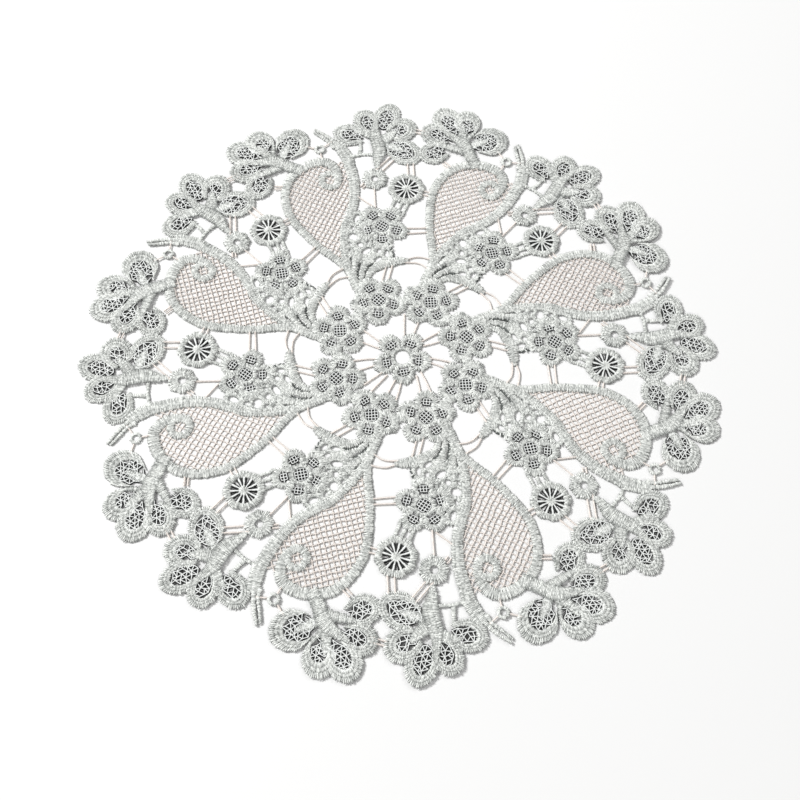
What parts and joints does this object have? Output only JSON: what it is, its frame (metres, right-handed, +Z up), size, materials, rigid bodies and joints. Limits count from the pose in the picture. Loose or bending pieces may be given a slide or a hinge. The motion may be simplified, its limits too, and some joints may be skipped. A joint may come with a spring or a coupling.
{
  "type": "lace doily",
  "caption": "Round openwork lace doily with curled paisley leaves, small net flowers and a scalloped rim of long-petalled flowers, lying flat.",
  "frame": {"origin": "centre of the flat underside", "axes": "+Z up through the good side; the pattern repeats eight times about Z, with a slice axis along each of +X, +Y, -X, -Y and their diagonals"},
  "size_m": [0.3032, 0.3032, 0.0016],
  "materials": {
    "lace_thread": "matt embroidery thread in a pale mint grey, padded satin stitch with a soft sheen along the stitches"
  },
  "bodies": {
    "root": {"lace_doily": "lace_thread"}
  },
  "joints": []
}
